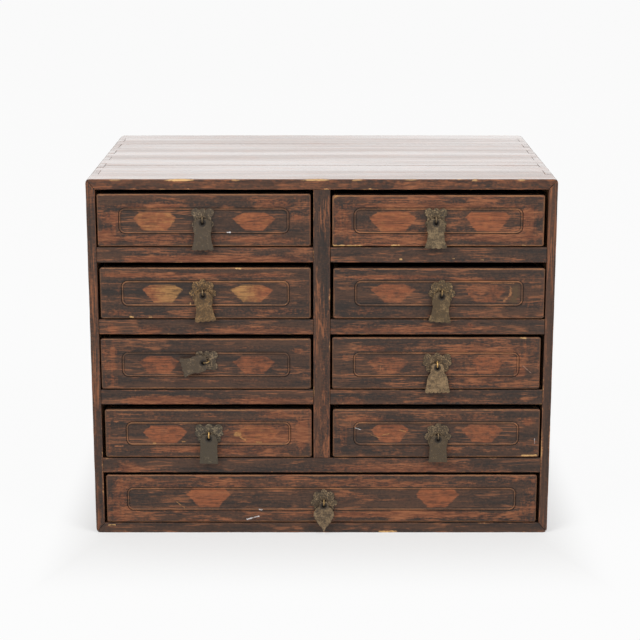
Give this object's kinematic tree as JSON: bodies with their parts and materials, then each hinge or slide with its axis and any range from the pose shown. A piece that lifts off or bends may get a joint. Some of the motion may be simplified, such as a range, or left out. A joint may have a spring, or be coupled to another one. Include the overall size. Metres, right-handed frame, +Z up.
{
  "type": "tabletop chest of drawers",
  "caption": "Low dovetailed wooden chest with two columns of small drawers over one full-width drawer, each pulled by a metal tab that swings on a staple.",
  "frame": {"origin": "centre of the case's footprint, on its underside", "axes": "+X to the right seen from the front, +Y from the front to the back, +Z up"},
  "size_m": [0.53, 0.3696, 0.42],
  "materials": {
    "case_lacquer": "worn dark lacquer",
    "drawer_lacquer": "worn dark lacquer over red-brown softwood",
    "bare_softwood": "aged bare softwood",
    "plate_brass": "tarnished brass",
    "staple_brass": "rubbed brass wire",
    "pull_brass": "tarnished brass sheet"
  },
  "bodies": {
    "case": {"case_top": "case_lacquer", "case_bottom": "case_lacquer", "side_left": "case_lacquer", "side_right": "case_lacquer", "back_panel": "bare_softwood", "centre_divider": "case_lacquer", "shelf_left_1": "case_lacquer", "shelf_left_2": "case_lacquer", "shelf_left_3": "case_lacquer", "shelf_right_1": "case_lacquer", "shelf_right_2": "case_lacquer", "shelf_right_3": "case_lacquer", "shelf_wide": "case_lacquer"},
    "drawer_left_1": {"drawer_left_1_front": "drawer_lacquer", "drawer_left_1_box": "bare_softwood", "drawer_left_1_plate": "plate_brass", "drawer_left_1_staple": "staple_brass"},
    "pull_left_1": {"drawer_left_1_pull": "pull_brass"},
    "drawer_left_2": {"drawer_left_2_front": "drawer_lacquer", "drawer_left_2_box": "bare_softwood", "drawer_left_2_plate": "plate_brass", "drawer_left_2_staple": "staple_brass"},
    "pull_left_2": {"drawer_left_2_pull": "pull_brass"},
    "drawer_left_3": {"drawer_left_3_front": "drawer_lacquer", "drawer_left_3_box": "bare_softwood", "drawer_left_3_plate": "plate_brass", "drawer_left_3_staple": "staple_brass"},
    "pull_left_3": {"drawer_left_3_pull": "pull_brass"},
    "drawer_left_4": {"drawer_left_4_front": "drawer_lacquer", "drawer_left_4_box": "bare_softwood", "drawer_left_4_plate": "plate_brass", "drawer_left_4_staple": "staple_brass"},
    "pull_left_4": {"drawer_left_4_pull": "pull_brass"},
    "drawer_right_1": {"drawer_right_1_front": "drawer_lacquer", "drawer_right_1_box": "bare_softwood", "drawer_right_1_plate": "plate_brass", "drawer_right_1_staple": "staple_brass"},
    "pull_right_1": {"drawer_right_1_pull": "pull_brass"},
    "drawer_right_2": {"drawer_right_2_front": "drawer_lacquer", "drawer_right_2_box": "bare_softwood", "drawer_right_2_plate": "plate_brass", "drawer_right_2_staple": "staple_brass"},
    "pull_right_2": {"drawer_right_2_pull": "pull_brass"},
    "drawer_right_3": {"drawer_right_3_front": "drawer_lacquer", "drawer_right_3_box": "bare_softwood", "drawer_right_3_plate": "plate_brass", "drawer_right_3_staple": "staple_brass"},
    "pull_right_3": {"drawer_right_3_pull": "pull_brass"},
    "drawer_right_4": {"drawer_right_4_front": "drawer_lacquer", "drawer_right_4_box": "bare_softwood", "drawer_right_4_plate": "plate_brass", "drawer_right_4_staple": "staple_brass"},
    "pull_right_4": {"drawer_right_4_pull": "pull_brass"},
    "drawer_wide": {"drawer_wide_front": "drawer_lacquer", "drawer_wide_box": "bare_softwood", "drawer_wide_plate": "plate_brass", "drawer_wide_staple": "staple_brass"},
    "pull_wide": {"drawer_wide_pull": "pull_brass"}
  },
  "joints": [
    {"name": "drawer_left_1_slide", "type": "slide", "parent": "case", "child": "drawer_left_1", "axis": [0, -1, 0], "range_m": [0, 0.26]},
    {"name": "pull_left_1_swing", "type": "hinge", "parent": "drawer_left_1", "child": "pull_left_1", "pos_m": [-0.13415, -0.1859, 0.3751], "axis": [-1, 0, 0], "range_deg": [-3, 150]},
    {"name": "drawer_left_2_slide", "type": "slide", "parent": "case", "child": "drawer_left_2", "axis": [0, -1, 0], "range_m": [0, 0.26]},
    {"name": "pull_left_2_swing", "type": "hinge", "parent": "drawer_left_2", "child": "pull_left_2", "pos_m": [-0.13525, -0.1859, 0.29115], "axis": [-0.9962, 0, -0.0872], "range_deg": [-3, 150]},
    {"name": "drawer_left_3_slide", "type": "slide", "parent": "case", "child": "drawer_left_3", "axis": [0, -1, 0], "range_m": [0, 0.26]},
    {"name": "pull_left_3_swing", "type": "hinge", "parent": "drawer_left_3", "child": "pull_left_3", "pos_m": [-0.13185, -0.1859, 0.2093], "axis": [-0.2419, 0, 0.9703], "range_deg": [-3, 150]},
    {"name": "drawer_left_4_slide", "type": "slide", "parent": "case", "child": "drawer_left_4", "axis": [0, -1, 0], "range_m": [0, 0.26]},
    {"name": "pull_left_4_swing", "type": "hinge", "parent": "drawer_left_4", "child": "pull_left_4", "pos_m": [-0.13065, -0.1859, 0.1215], "axis": [-0.9998, 0, 0.0175], "range_deg": [-3, 150]},
    {"name": "drawer_right_1_slide", "type": "slide", "parent": "case", "child": "drawer_right_1", "axis": [0, -1, 0], "range_m": [0, 0.26]},
    {"name": "pull_right_1_swing", "type": "hinge", "parent": "drawer_right_1", "child": "pull_right_1", "pos_m": [0.12855, -0.1859, 0.3751], "axis": [-1, 0, 0], "range_deg": [-3, 150]},
    {"name": "drawer_right_2_slide", "type": "slide", "parent": "case", "child": "drawer_right_2", "axis": [0, -1, 0], "range_m": [0, 0.26]},
    {"name": "pull_right_2_swing", "type": "hinge", "parent": "drawer_right_2", "child": "pull_right_2", "pos_m": [0.13645, -0.1859, 0.29035], "axis": [-0.9976, 0, 0.0698], "range_deg": [-3, 150]},
    {"name": "drawer_right_3_slide", "type": "slide", "parent": "case", "child": "drawer_right_3", "axis": [0, -1, 0], "range_m": [0, 0.26]},
    {"name": "pull_right_3_swing", "type": "hinge", "parent": "drawer_right_3", "child": "pull_right_3", "pos_m": [0.13255, -0.1859, 0.2065], "axis": [-0.9998, 0, -0.0175], "range_deg": [-3, 150]},
    {"name": "drawer_right_4_slide", "type": "slide", "parent": "case", "child": "drawer_right_4", "axis": [0, -1, 0], "range_m": [0, 0.26]},
    {"name": "pull_right_4_swing", "type": "hinge", "parent": "drawer_right_4", "child": "pull_right_4", "pos_m": [0.13485, -0.1859, 0.1204], "axis": [-1, 0, 0], "range_deg": [-3, 150]},
    {"name": "drawer_wide_slide", "type": "slide", "parent": "case", "child": "drawer_wide", "axis": [0, -1, 0], "range_m": [0, 0.26]},
    {"name": "pull_wide_swing", "type": "hinge", "parent": "drawer_wide", "child": "pull_wide", "pos_m": [0.0025, -0.1859, 0.03935], "axis": [-1, 0, 0], "range_deg": [-3, 150]}
  ]
}
